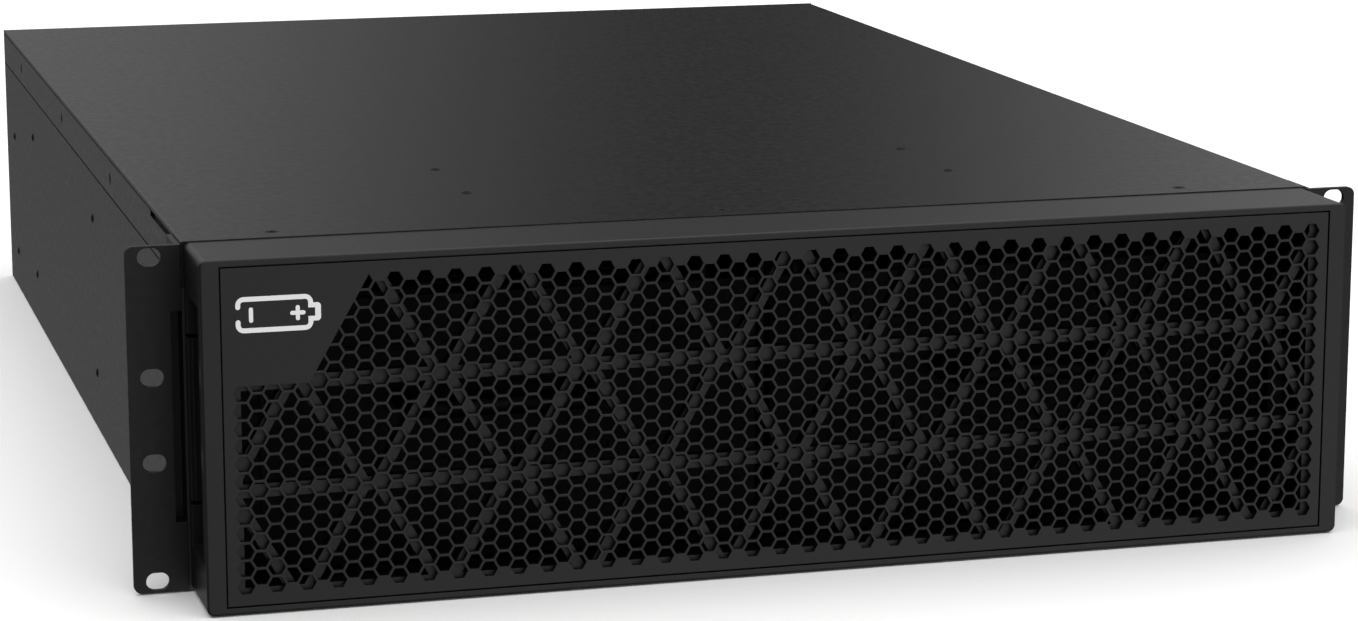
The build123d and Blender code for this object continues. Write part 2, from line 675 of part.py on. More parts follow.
def grille_panel():
    """Flat insert with the hexagon holes and the closed corner."""
    half_w = POCKET_HALF_W - POCKET_GAP
    z0 = POCKET_Z[0] + POCKET_GAP
    z1 = POCKET_Z[1] - POCKET_GAP
    rim = Polyline((-half_w, z0), (half_w, z0), (half_w, z1), (-half_w, z1), close=True)
    sheet = Face(Wire(rim.edges()), grille_wires())
    return wall(sheet, LEDGE_Y - GRILLE_T, LEDGE_Y)


def lattice_bands():
    """Bottom, top and sideways phase of the three rows of triangles."""
    high = LATTICE_MID + LATTICE_BAR_Z
    low = LATTICE_MID - LATTICE_BAR_Z
    half = LATTICE_BAR / 2
    return (
        (high + half, LATTICE_TOP, LATTICE_NODE_X),
        (low + half, high - half, 0.0),
        (LATTICE_BOTTOM, low - half, LATTICE_NODE_X),
    )


def lattice():
    """Stiffening grid behind the grille: bars, diagonals and an edge rail."""
    half_w = LEDGE_HALF_W - 0.3
    half_h = LEDGE_HALF_H - 0.3
    outer = Rectangle(2 * half_w, 2 * half_h)
    window = Rectangle(2 * (half_w - LATTICE_RAIL), LATTICE_TOP - LATTICE_BOTTOM)
    sketch = Pos(0, MID_Z) * outer - Pos(0, (LATTICE_TOP + LATTICE_BOTTOM) / 2) * window
    for z in (-LATTICE_BAR_Z, LATTICE_BAR_Z):
        sketch += Pos(0, z + LATTICE_MID) * Rectangle(2 * half_w, LATTICE_BAR)
    limit = Pos(0, MID_Z) * Rectangle(2 * half_w, 2 * half_h)
    diagonals = []
    for z_low, z_high, phase in lattice_bands():
        mid = (z_low + z_high) / 2
        run = (z_high - z_low) / math.tan(math.radians(60))
        for i in range(-5, 6):
            for lean in (-1, 1):
                x = phase + i * LATTICE_PITCH + lean * LATTICE_PITCH / 4
                length = (z_high - z_low) / math.sin(math.radians(60)) + 8
                bar = Pos(x, mid) * Rot(0, 0, 90 - lean * 30) * Rectangle(length, LATTICE_DIAGONAL)
                keep = Pos(x, mid) * Rectangle(run + 12, z_high - z_low + 2)
                diagonals.append(bar & keep & limit)
    for bar in diagonals:
        if bar is not None and bar.faces():
            sketch += bar
    return wall(sketch, LEDGE_Y, LATTICE_BACK)


def stroke(width, *points):
    """Line of the given width through the points, with round ends and corners."""
    shape = Pos(*points[0]) * Circle(width / 2)
    for (x0, z0), (x1, z1) in zip(points, points[1:]):
        length = math.hypot(x1 - x0, z1 - z0)
        turn = math.degrees(math.atan2(z1 - z0, x1 - x0))
        shape += Pos((x0 + x1) / 2, (z0 + z1) / 2) * Rot(0, 0, turn) * Rectangle(length, width)
        shape += Pos(x1, z1) * Circle(width / 2)
    return shape


def symbol_outline():
    """Rounded battery outline with a nub, open at its left end."""
    x0, x1, z0, z1 = SYMBOL_BOX
    mid_x = (x0 + x1) / 2
    mid_z = (z0 + z1) / 2
    line = SYMBOL_LINE
    ring = Pos(mid_x, mid_z) * RectangleRounded(x1 - x0, z1 - z0, 3.0)
    ring -= Pos(mid_x, mid_z) * RectangleRounded(x1 - x0 - 2 * line, z1 - z0 - 2 * line, 1.1)
    ring -= Pos(x0, mid_z + 0.15) * Rectangle(2 * line + 1, 3.7 + line)
    for end in (-1, 1):
        ring += Pos(x0 + line / 2, mid_z + 0.15 + end * (3.7 + line) / 2) * Circle(line / 2)
    nub = Pos(x1 + 0.7, mid_z) * RectangleRounded(4.2, 6.6, 1.3)
    nub -= Pos(x1 - 0.7, mid_z) * Rectangle(2.8, 6.6 - 2 * line)
    ring -= Pos(x1 - line / 2, mid_z) * Rectangle(line + 0.4, 6.6 - 2 * line)
    return ring + nub


def battery_symbol():
    """Plain battery pictogram, a thin raised print on the solid corner."""
    y_back = LEDGE_Y - GRILLE_T
    thin = SYMBOL_LINE - 0.25
    minus = stroke(thin, (-202.0, 42.7), (-202.0, 46.7))
    plus = stroke(thin, (-187.3, 44.7), (-183.3, 44.7))
    plus += stroke(thin, (-185.3, 42.7), (-185.3, 46.7))
    return [wall(shape, y_back - SYMBOL_RISE, y_back) for shape in (symbol_outline(), minus, plus)]


def ball_stud(x, z):
    """Ball-ended pin on the front ring."""
    shaft = rod(2.0, (x, -8, z), (x, 5, z))
    collar = rod(3.4, (x, 0.8, z), (x, 2.0, z))
    return shaft + collar + Pos(x, -9, z) * Sphere(3.0)


def ball_clip(x, z):
    """Round socket that snaps over one ball stud."""
    side = 1 if x > 0 else -1
    up = 1 if z > 0 else -1
    base = block(side * 210.0, side * 216.4, LEDGE_BACK, LATTICE_BACK, z - 3 * up, z + 3 * up)
    body = rod(4.5, (x, LATTICE_BACK, z), (x, -2.8, z))
    bore = rod(3.25, (x, -14, z), (x, 0, z))
    slit = block(x - 0.6, x + 0.6, -12, 0, z - 6, z + 6)
    return base + body - bore - slit


# --- battery modules -------------------------------------------------------------------
def module_tray(side):
    """Open sheet tray with a tall front wall and a low rear wall."""
    x0, x1 = MODULE_X
    y0, y1 = MODULE_Y
    t = MODULE_SHEET
    floor = side_block(side, x0, x1, y0, y1, MODULE_Z, MODULE_Z + t)
    front = side_block(side, x0, x1, y0, y0 + t, MODULE_Z, 40.3)
    rear = side_block(side, x0, x1, y1 - t, y1, MODULE_Z, 10.0)
    inner = side_block(side, x0, x0 + t, y0, y1, MODULE_Z, -20.0)
    outer = side_block(side, x1 - t, x1, y0, y1, MODULE_Z, -20.0)
    cuts = [flat_window(side * PLUG_X, y1)]
    for x in (10.0, 187.0):
        for z in (-30.0, 34.0):
            cuts.append(rod(1.6, (side * x, y0 - 1, z), (side * x, y0 + 3, z)))
    return cut_all(floor + front + rear + inner + outer, cuts)


def flat_window(x, y):
    """Opening in a module's rear wall for its plug."""
    return block(x - 16.1, x + 16.1, y - 4, y + 2, PLUG_Z - 8.1, PLUG_Z + 8.1)


def module_front(side):
    """Face plate of a module, screwed to its tray."""
    plate = side_block(side, 4.0, 193.0, 4.3, 5.5, -36.7, 40.3)
    cuts = []
    for x in (10.0, 187.0):
        for z in (-30.0, 34.0):
            cuts.append(screw_hole((side * x, 4.3, z), (0, -1, 0), 2.6, 1.4, 6.0))
    for x in (70.0, 140.0):
        cuts.append(rod(2.1, (side * x, 3, 2), (side * x, 7, 2)))
    for i in range(9):
        x = side * (30 + 18 * i)
        cuts.append(block(x - 5, x + 5, 3, 7, 22, 25))
        cuts.append(block(x - 5, x + 5, 3, 7, -22, -19))
    return cut_all(plate, cuts)


def module_handle(side):
    """Bent-rod pull handle."""
    x0 = side * 70.0
    x1 = side * 140.0
    return tube(4.0, 10, (x0, 4.3, 2), (x0, -15, 2), (x1, -15, 2), (x1, 4.3, 2))


def module_screws(side):
    screws = []
    for x in (10.0, 187.0):
        for z in (-30.0, 34.0):
            screws.append(flush_screw((side * x, 4.3, z), (0, -1, 0), 2.6, 1.4, 6.0))
    return screws


def cell_corner(side, column, row):
    """Low corner of a cell that stands in the given column and row."""
    x = MODULE_X[0] + 3.0 + column * (CELL[0] + CELL_GAP)
    y = CELL_Y + row * (CELL[1] + CELL_GAP)
    low = x if side > 0 else -x - CELL[0]
    return low, y, MODULE_Z + MODULE_SHEET


def module_cells(side):
    """Sealed 12 V lead-acid blocks, each with a raised terminal deck."""
    cells = []
    for column, row in CELL_PLACES:
        x, y, z = cell_corner(side, column, row)
        case = block(x, x + CELL[0], y, y + CELL[1], z, z + CELL[2] - 4)
        case = fillet(case.edges().filter_by(Axis.Z), 3.0)
        deck = block(x + 3, x + CELL[0] - 3, y + 22, y + CELL[1] - 6, z + CELL[2] - 4, z + CELL[2])
        cells.append(case + deck)
    return cells


def tab_centre(side, place, pole):
    """Middle of a terminal tab's top; pole is -1 or 1."""
    x, y, z = cell_corner(side, *CELL_PLACES[place])
    return x + CELL[0] / 2 + pole * TAB_OFFSET, y + 11.0, z + CELL[2] - 4 + TAB_TOP


def module_tabs(side):
    """Blade terminals of all cells."""
    tabs = []
    for place in range(len(CELL_PLACES)):
        for pole in (-1, 1):
            x, y, z = tab_centre(side, place, pole)
            blade = block(x - 0.4, x + 0.4, y - 3.2, y + 3.2, z - TAB_TOP + 1.2, z)
            base = block(x - 5, x + 5, y - 5, y + 5, z - TAB_TOP, z - TAB_TOP + 1.2)
            tabs.append(blade + base)
    return tabs


def module_links(side):
    """Insulated straps that join the cells in series."""
    links = []
    for place in range(len(CELL_PLACES) - 1):
        here = CELL_PLACES[place]
        there = CELL_PLACES[place + 1]
        step = there[0] - here[0]
        lean = side * step if step else side * (1 if here[0] else -1)
        a = tab_centre(side, place, lean)
        b = tab_centre(side, place + 1, -lean if step else lean)
        x0 = min(a[0], b[0]) - 3.5
        x1 = max(a[0], b[0]) + 3.5
        y0 = min(a[1], b[1]) - 3.5
        y1 = max(a[1], b[1]) + 3.5
        links.append(block(x0, x1, y0, y1, a[2], a[2] + 2.4))
    return links


def module_plug(side):
    """Floating plug on the module's rear wall."""
    x = side * PLUG_X
    y1 = MODULE_Y[1]
    body = block(x - 16, x + 16, y1 - 3, y1 + 22, PLUG_Z - 8, PLUG_Z + 8)
    body = fillet(body.edges().filter_by(Axis.Y), 1.5)
    rim = block(x - 20, x + 20, y1, y1 + 3, PLUG_Z - 12, PLUG_Z + 12)
    wells = [rod(4.0, (x + dx, y1 + 12, PLUG_Z), (x + dx, y1 + 23, PLUG_Z)) for dx in (-8, 8)]
    return cut_all(body + rim, wells)


def module_leads(side):
    """The two end leads of a module's string, down to its plug in the free ninth place."""
    first = tab_centre(side, 0, -side)
    last = tab_centre(side, len(CELL_PLACES) - 1, side)
    foot = first[2] + 0.1
    top = first[2] + 5.7
    y_end = MODULE_Y[1] - 3.1
    x_near = side * (PLUG_X - 8)
    x_far = side * (PLUG_X + 8)
    leads = []
    for (x, y, z), x_plug, y_drop in ((first, x_near, 400.0), (last, x_far, 352.0)):
        leads.append(tube(LEAD_R, 4.5, (x, y, foot), (x, y, top), (x, y_drop, top), (x_plug, y_drop, top),
                          (x_plug, y_drop, PLUG_Z), (x_plug, y_end, PLUG_Z)))
    return leads


# --- write every node ---------------------------------------------------------------------
save("base_tray", base_tray())
save("top_cover", top_cover())
save("front_frame", front_frame())
save("rear_panel", rear_panel())
save("rear_brackets", rear_bracket(-1), rear_bracket(1))
save("centre_divider", centre_divider())
save("bay_rails", *bay_rails())
save("hold_down_brackets", hold_down(-1), hold_down(1))
save("rear_bulkhead", rear_bulkhead())
save("module_sockets", module_socket(-1), module_socket(1))
save("breaker_body", breaker_body())
save("breaker_toggle", breaker_toggle())
save("breaker_pin", breaker_pin())
save("dc_sockets", *[dc_socket(x) for x in DC_XS])
save("dc_contacts", *dc_contacts())
save("comms_board", comms_board())
save("comms_jacks", *[comms_jack(x) for x in JACK_XS])
save("board_posts", *board_posts())
save("ground_stud", ground_stud())
save("ground_nuts", stud_nut(Y_BACK + REAR_SHEET, Y_BACK + REAR_SHEET + 4), stud_nut(Y_BACK - 4, Y_BACK))
save("fuse_holder", fuse_holder())
save("main_fuse", main_fuse())
link, feed, back = power_cables()
save("cable_module_link", link)
save("cable_breaker_feed", feed)
save("cable_fuse_feed", back)
plus, minus = output_cables()
save("cable_output_plus", plus)
save("cable_output_minus", minus)
xs = well_xs()
save("dc_busbars", dc_busbar(xs[1], xs[3], 1), dc_busbar(xs[0], xs[2], -1))
save("rack_ear_left", rack_ear(-1))
save("rack_ear_right", rack_ear(1))
save("ear_screws", *[flush_screw(p, d, *EAR_SCREW) for p, d in ear_screw_places()])
save("cover_screws", *[flush_screw(p, d, *COVER_SCREW) for p, d in lip_screw_places() + front_screw_places()])
save("case_rivets", *[dome_rivet(p, d, *RIVET) for p, d in top_rivet_places() + side_rivet_places()])
save("rear_screws", *[flush_screw(p, d, *REAR_SCREW) for p, d in rear_screw_places()])
save("ball_studs", *[ball_stud(x, z) for x, z in BALL_STUDS])
save("bezel_frame", bezel_frame())
save("grille_panel", grille_panel())
save("grille_lattice", lattice())
save("battery_symbol", *battery_symbol())
save("ball_clips", *[ball_clip(x, z) for x, z in BALL_STUDS])
save("latch_left", latch(-1))
save("latch_right", latch(1))
for side, name in ((-1, "left"), (1, "right")):
    save(f"module_tray_{name}", module_tray(side))
    save(f"module_front_{name}", module_front(side))
    save(f"module_handle_{name}", module_handle(side))
    save(f"module_screws_{name}", *module_screws(side))
    save(f"module_cells_{name}", *module_cells(side))
    save(f"module_tabs_{name}", *module_tabs(side))
    save(f"module_links_{name}", *module_links(side))
    save(f"module_leads_{name}", *module_leads(side))
    save(f"module_plug_{name}", module_plug(side))
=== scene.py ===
import json
import math
import random

import bmesh
import bpy
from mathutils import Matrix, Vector


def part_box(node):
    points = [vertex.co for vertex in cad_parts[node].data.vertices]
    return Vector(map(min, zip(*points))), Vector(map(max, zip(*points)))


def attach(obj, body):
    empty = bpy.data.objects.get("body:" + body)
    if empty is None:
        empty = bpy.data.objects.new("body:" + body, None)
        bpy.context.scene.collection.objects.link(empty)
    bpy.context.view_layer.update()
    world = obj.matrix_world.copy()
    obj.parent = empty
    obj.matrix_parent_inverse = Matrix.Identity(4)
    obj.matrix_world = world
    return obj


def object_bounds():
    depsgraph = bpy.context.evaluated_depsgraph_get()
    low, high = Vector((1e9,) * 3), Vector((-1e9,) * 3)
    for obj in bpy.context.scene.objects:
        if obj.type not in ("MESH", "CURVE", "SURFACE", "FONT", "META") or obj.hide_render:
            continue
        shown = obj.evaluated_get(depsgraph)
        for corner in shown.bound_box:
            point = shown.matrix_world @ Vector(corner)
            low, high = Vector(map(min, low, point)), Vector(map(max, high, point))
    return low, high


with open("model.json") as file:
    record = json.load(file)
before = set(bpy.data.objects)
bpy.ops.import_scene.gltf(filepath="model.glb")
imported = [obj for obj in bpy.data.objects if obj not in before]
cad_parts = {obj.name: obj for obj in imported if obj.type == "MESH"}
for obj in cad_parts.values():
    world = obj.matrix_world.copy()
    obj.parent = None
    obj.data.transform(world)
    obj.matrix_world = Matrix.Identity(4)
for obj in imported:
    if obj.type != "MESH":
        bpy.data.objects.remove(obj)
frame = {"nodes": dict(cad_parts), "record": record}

CAD_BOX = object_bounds()
MM = 0.001
FLOOR_HALF = 20.0           # the floor runs this far to every side
FLOOR_DROP = 0.5 * MM       # and lies this far under the object
NODES = frame["nodes"]
SLOT_OF = {part["node"]: part["material_slot"] for part in frame["record"]["subparts"]}

# ---------------------------------------------------------------- camera
CAMERA_PLACE = Vector((-0.4045, -1.3097, 0.3054))
CAMERA_FORWARD = Vector((0.2664, 0.9432, -0.1984))
LENS_MM = 98.14
SENSOR_MM = 36.0


def make_camera():
    """Long lens at the front left, looking slightly down."""
    data = bpy.data.cameras.new("camera")
    data.lens = LENS_MM
    data.sensor_width = SENSOR_MM
    data.clip_end = 50.0
    camera = bpy.data.objects.new("camera", data)
    bpy.context.scene.collection.objects.link(camera)
    camera.location = CAMERA_PLACE
    camera.rotation_euler = CAMERA_FORWARD.to_track_quat("-Z", "Y").to_euler()
    bpy.context.scene.camera = camera


# ---------------------------------------------------------------- light and floor
TOP_LIGHT = 2.50            # soft ceiling of the studio
BACK_LIGHT = 0.90           # two tall softboxes behind the object
FRONT_LIGHT = 1.55          # softbox to the right of the camera
FRONT_DIRECTION = (0.48, -0.86, 0.17)
DIM_WALL = 0.26             # everything else
LEFT_SHARE = 0.82           # the left one of the two is weaker
SKIRTING = 0.22             # share of the back light left near the horizon
LOW_SHARE = 1.20            # share of all that is left below the horizon
GAP_DIRECTION = math.radians(16.5)   # the dim gap between the two softboxes at the back
GAP_WIDTH = 0.20
GAP_DEPTH = 0.96


def link_math(tree, kind, a, b=None):
    """Math node on sockets or plain numbers."""
    node = tree.nodes.new("ShaderNodeMath")
    node.operation = kind
    for socket, value in zip(node.inputs, (a, b)):
        if value is None:
            continue
        if isinstance(value, (int, float)):
            socket.default_value = value
        else:
            tree.links.new(value, socket)
    return node.outputs[0]


def map_range(tree, value, low, high, to_low, to_high, smooth=False):
    """Map Range node, clamped."""
    node = tree.nodes.new("ShaderNodeMapRange")
    if smooth:
        node.interpolation_type = "SMOOTHSTEP"
    tree.links.new(value, node.inputs["Value"])
    node.inputs["From Min"].default_value = low
    node.inputs["From Max"].default_value = high
    node.inputs["To Min"].default_value = to_low
    node.inputs["To Max"].default_value = to_high
    return node.outputs[0]


def back_gap(tree, x, y, z):
    """One minus the dimming of the gap between the two softboxes at the back."""
    across = link_math(tree, "MULTIPLY", x, math.cos(GAP_DIRECTION))
    along = link_math(tree, "MULTIPLY", y, math.sin(GAP_DIRECTION))
    offset = link_math(tree, "ABSOLUTE", link_math(tree, "SUBTRACT", across, along))
    lateral = map_range(tree, offset, 0.0, GAP_WIDTH, GAP_DEPTH, 0.0, smooth=True)
    behind = map_range(tree, y, 0.1, 0.5, 0.0, 1.0, smooth=True)
    low = map_range(tree, z, 0.35, 0.75, 1.0, 0.0, smooth=True)
    dimming = link_math(tree, "MULTIPLY", link_math(tree, "MULTIPLY", lateral, behind), low)
    return link_math(tree, "SUBTRACT", 1.0, dimming)


def make_world():
    """Soft studio: ceiling, two softboxes behind with a gap between them, one beside the camera."""
    world = bpy.data.worlds.new("studio")
    bpy.context.scene.world = world
    world.use_nodes = True
    tree = world.node_tree
    tree.nodes.clear()
    out = tree.nodes.new("ShaderNodeOutputWorld")
    shade = tree.nodes.new("ShaderNodeBackground")
    coords = tree.nodes.new("ShaderNodeTexCoord")
    split = tree.nodes.new("ShaderNodeSeparateXYZ")
    tree.links.new(coords.outputs["Generated"], split.inputs[0])
    x, y, z = split.outputs
    top = map_range(tree, z, 0.45, 0.85, 0.0, TOP_LIGHT, smooth=True)
    back = map_range(tree, y, 0.35, 0.75, 0.0, BACK_LIGHT, smooth=True)
    towards = tree.nodes.new("ShaderNodeVectorMath")
    towards.operation = "DOT_PRODUCT"
    towards.inputs[1].default_value = FRONT_DIRECTION
    tree.links.new(coords.outputs["Generated"], towards.inputs[0])
    front = map_range(tree, towards.outputs["Value"], 0.55, 0.95, 0.0, FRONT_LIGHT, smooth=True)
    back = link_math(tree, "MULTIPLY", back, map_range(tree, x, 0.15, 0.35, LEFT_SHARE, 1.10, smooth=True))
    back = link_math(tree, "MULTIPLY", back, map_range(tree, z, 0.06, 0.24, SKIRTING, 1.0, smooth=True))
    back = link_math(tree, "MULTIPLY", link_math(tree, "MAXIMUM", back, DIM_WALL), back_gap(tree, x, y, z))
    strength = link_math(tree, "MAXIMUM", link_math(tree, "MAXIMUM", top, back), front)
    share = map_range(tree, z, -0.30, 0.05, LOW_SHARE, 1.0, smooth=True)
    tree.links.new(link_math(tree, "MULTIPLY", strength, share), shade.inputs["Strength"])
    tree.links.new(shade.outputs[0], out.inputs["Surface"])


def make_floor():
    """Pale floor that runs far behind the object."""
    bm = bmesh.new()
    bmesh.ops.create_grid(bm, x_segments=4, y_segments=4, size=FLOOR_HALF)
    mesh = bpy.data.meshes.new("floor")
    bm.to_mesh(mesh)
    bm.free()
    floor = bpy.data.objects.new("floor", mesh)
    floor.location = (0, 0, CAD_BOX[0].z - FLOOR_DROP)
    bpy.context.scene.collection.objects.link(floor)
    material = bpy.data.materials.new("floor_white")
    material.use_nodes = True
    shader = material.node_tree.nodes["Principled BSDF"]
    shader.inputs["Base Color"].default_value = (0.95, 0.95, 0.95, 1)
    shader.inputs["Roughness"].default_value = 0.95
    shader.inputs["Specular IOR Level"].default_value = 0.1
    mesh.materials.append(material)
    floor.visible_diffuse = False
    floor.visible_glossy = False


# ---------------------------------------------------------------- materials
def noise(tree, coords, size_mm, detail=2.0, stretch=None):
    """Noise whose features are about size_mm across; stretch scales the axes."""
    node = tree.nodes.new("ShaderNodeTexNoise")
    node.inputs["Scale"].default_value = 1.0 / (size_mm * MM)
    node.inputs["Detail"].default_value = detail
    if stretch is None:
        tree.links.new(coords, node.inputs["Vector"])
    else:
        mapping = tree.nodes.new("ShaderNodeMapping")
        mapping.inputs["Scale"].default_value = stretch
        tree.links.new(coords, mapping.inputs["Vector"])
        tree.links.new(mapping.outputs[0], node.inputs["Vector"])
    return node.outputs["Fac"]


def mix_colour(tree, factor, first, second):
    """Mix of two colours, each a socket or three numbers."""
    node = tree.nodes.new("ShaderNodeMix")
    node.data_type = "RGBA"
    tree.links.new(factor, node.inputs["Factor"])
    for socket, value in ((node.inputs["A"], first), (node.inputs["B"], second)):
        if isinstance(value, tuple):
            socket.default_value = (*value, 1)
        else:
            tree.links.new(value, socket)
    return node.outputs["Result"]


def scaled(colour, factor):
    return tuple(min(1.0, part * factor) for part in colour)


def finish(name, colour, rough, metallic=0.0, specular=0.5, mottle=(35.0, 0.10), speck=None,
           grain=(0.5, 0.02), second_grain=None, rough_spread=0.08, edge=0.4, wear=None,
           stretch=None, sheen=0.0, coat=0.0):
    """
    One procedural finish.  mottle and speck are (size in mm, share of colour change); grain is
    (size in mm, height in mm); edge rounds the shading of corners by that many mm; wear is
    (colour, amount) on those corners; stretch scales the axes of the grain.
    """
    material = bpy.data.materials.new(name)
    material.use_nodes = True
    tree = material.node_tree
    shader = tree.nodes["Principled BSDF"]
    shader.inputs["Metallic"].default_value = metallic
    shader.inputs["Specular IOR Level"].default_value = specular
    if sheen:
        shader.inputs["Sheen Weight"].default_value = sheen
    if coat:
        shader.inputs["Coat Weight"].default_value = coat
    coords = tree.nodes.new("ShaderNodeTexCoord").outputs["Object"]

    size, share = mottle
    cloud = map_range(tree, noise(tree, coords, size, 3.0), 0.3, 0.7, 0.0, 1.0)
    base = mix_colour(tree, cloud, scaled(colour, 1 - share), scaled(colour, 1 + share))
    if speck:
        size, share = speck
        dots = map_range(tree, noise(tree, coords, size, 1.0), 0.62, 0.70, 0.0, 1.0)
        base = mix_colour(tree, dots, base, scaled(colour, 1 + share))

    bevel = tree.nodes.new("ShaderNodeBevel")
    bevel.samples = 4
    bevel.inputs["Radius"].default_value = edge * MM
    geometry = tree.nodes.new("ShaderNodeNewGeometry")
    if wear:
        dot = tree.nodes.new("ShaderNodeVectorMath")
        dot.operation = "DOT_PRODUCT"
        tree.links.new(bevel.outputs[0], dot.inputs[0])
        tree.links.new(geometry.outputs["Normal"], dot.inputs[1])
        corner = map_range(tree, dot.outputs["Value"], 0.99, 0.85, 0.0, 1.0)
        patch = map_range(tree, noise(tree, coords, 4.0, 3.0), 0.40, 0.62, 0.0, wear[1])
        base = mix_colour(tree, link_math(tree, "MULTIPLY", corner, patch), base, wear[0])
    tree.links.new(base, shader.inputs["Base Color"])

    streaks = noise(tree, coords, grain[0] * 6, 3.0, stretch)
    tree.links.new(map_range(tree, streaks, 0.25, 0.75, rough - rough_spread, rough + rough_spread),
                   shader.inputs["Roughness"])

    normal = bevel.outputs[0]
    for layer in (grain, second_grain):
        if layer is None:
            continue
        bump = tree.nodes.new("ShaderNodeBump")
        bump.inputs["Distance"].default_value = layer[1] * MM
        tree.links.new(noise(tree, coords, layer[0], 2.0, stretch), bump.inputs["Height"])
        tree.links.new(normal, bump.inputs["Normal"])
        normal = bump.outputs[0]
    tree.links.new(normal, shader.inputs["Normal"])
    return material


def powder_coat(name, colour, rough, specular, wear_amount=0.35):
    """Fine-textured black powder coat with faint clouding and rubbed corners."""
    return finish(name, colour, rough, specular=specular, mottle=(60.0, 0.06), speck=(0.9, 0.25),
                  grain=(0.55, 0.014), second_grain=(2.2, 0.02), rough_spread=0.05, edge=0.5,
                  wear=((0.16, 0.16, 0.165), wear_amount))


def moulding(name, colour, rough, specular=0.5, edge=0.35, wear=(0.12, 0.12, 0.125), amount=0.2):
    """Spark-eroded plastic moulding."""
    return finish(name, colour, rough, specular=specular, mottle=(45.0, 0.05), speck=(0.35, 0.2),
                  grain=(0.22, 0.008), second_grain=(14.0, 0.03), rough_spread=0.04, edge=edge,
                  wear=(wear, amount))


def plated(name, colour, rough, stretch=None):
    """Plated or bare metal with fine scratches."""
    return finish(name, colour, rough, metallic=1.0, mottle=(6.0, 0.12), grain=(0.12, 0.003),
                  rough_spread=0.12, edge=0.15, stretch=stretch)


def sheath(name, colour):
    """Cable sheath: matt, slightly waxy, with a fine and a coarse bumpy grain."""
    return finish(name, colour, 0.5, specular=0.4, mottle=(12.0, 0.12), grain=(0.4, 0.01),
                  second_grain=(3.0, 0.03), rough_spread=0.1, edge=0.2, sheen=0.08)


def make_materials():
    """The finish of every material slot in the record."""
    return {
        "cover_paint": powder_coat("cover_paint", (0.0041, 0.0041, 0.0043), 0.32, 0.21, 0.20),
        "case_paint": powder_coat("case_paint", (0.0046, 0.0046, 0.0048), 0.38, 0.44, 0.20),
        "ear_paint": powder_coat("ear_paint", (0.0042, 0.0042, 0.0044), 0.44, 0.25),
        # inner_sheet and module_face are darker than the outer black paint: partly the real near-black of the
        # inner parts, partly painted shade for the inside of the case seen through the grille.
        "inner_sheet": finish("inner_sheet", (0.0022, 0.0022, 0.0023), 0.60, specular=0.12, speck=(0.8, 0.3),
                              grain=(0.6, 0.015), wear=((0.05, 0.05, 0.05), 0.3)),
        "module_face": finish("module_face", (0.0022, 0.0022, 0.0023), 0.55, specular=0.10,
                              speck=(0.8, 0.3), grain=(0.6, 0.015), wear=((0.05, 0.05, 0.05), 0.3)),
        "handle": finish("handle", (0.0022, 0.0022, 0.0022), 0.50, specular=0.12, speck=(0.7, 0.3),
                         grain=(0.5, 0.012), wear=((0.05, 0.05, 0.05), 0.4)),
        "bezel_plastic": moulding("bezel_plastic", (0.0060, 0.0060, 0.0062), 0.38, 0.30),
        "lattice_plastic": moulding("lattice_plastic", (0.0085, 0.0085, 0.0088), 0.48, 0.32),
        "symbol_print": finish("symbol_print", (1.0, 1.0, 1.0), 0.50, specular=0.5, mottle=(3.0, 0.02),
                               grain=(0.3, 0.006), rough_spread=0.05, edge=0.05),
        "rail_plastic": moulding("rail_plastic", (0.72, 0.71, 0.66), 0.42, wear=(0.5, 0.5, 0.48)),
        "connector_plastic": moulding("connector_plastic", (0.020, 0.020, 0.022), 0.38),
        "breaker_plastic": moulding("breaker_plastic", (0.36, 0.37, 0.37), 0.42, wear=(0.55, 0.55, 0.54)),
        "toggle_plastic": moulding("toggle_plastic", (0.012, 0.012, 0.013), 0.30),
        "contact_metal": plated("contact_metal", (0.86, 0.80, 0.68), 0.24),
        "board": finish("board", (0.012, 0.11, 0.045), 0.28, coat=0.5, mottle=(2.5, 0.25),
                        grain=(0.7, 0.02), edge=0.1),
        "zinc_steel": plated("zinc_steel", (0.62, 0.63, 0.64), 0.34),
        "brass_stud": plated("brass_stud", (0.80, 0.60, 0.28), 0.28, stretch=(1, 8, 1)),
        "fuse_body": finish("fuse_body", (0.74, 0.70, 0.60), 0.30, mottle=(5.0, 0.06), grain=(0.5, 0.01),
                            speck=(0.6, -0.3)),
        "cable_black": sheath("cable_black", (0.012, 0.012, 0.012)),
        "cable_red": sheath("cable_red", (0.42, 0.014, 0.012)),
        "lead_sheath": sheath("lead_sheath", (0.013, 0.013, 0.013)),
        "black_screw": finish("black_screw", (0.0018, 0.0018, 0.0019), 0.55, specular=0.10, mottle=(1.5, 0.2),
                              grain=(0.15, 0.004), edge=0.2, wear=((0.02, 0.02, 0.02), 0.5)),
        # seam_black is painted shade: the near-black of the strips that stand in for the shadow in the
        # cover's seams and folds.
        "seam_black": finish("seam_black", (0.0010, 0.0010, 0.0010), 0.70, specular=0.03, mottle=(2.0, 0.2),
                             grain=(0.3, 0.01), rough_spread=0.05, edge=0.05),
        "cell_case": moulding("cell_case", (0.050, 0.052, 0.056), 0.42, wear=(0.16, 0.16, 0.17)),
        "lid_plastic": moulding("lid_plastic", (0.022, 0.023, 0.025), 0.40),
        "link_sleeve": finish("link_sleeve", (0.010, 0.010, 0.011), 0.36, specular=0.5, mottle=(7.0, 0.15),
                              grain=(1.2, 0.05), sheen=0.05),
    }


def dress_nodes(materials):
    """Every carried-over CAD node takes the finish of its slot; the ears have a duller paint."""
    for name, node in NODES.items():
        material = materials["ear_paint" if name.startswith("rack_ear") else SLOT_OF[name]]
        if not node.material_slots:
            node.data.materials.append(material)
        for slot in node.material_slots:
            slot.material = material


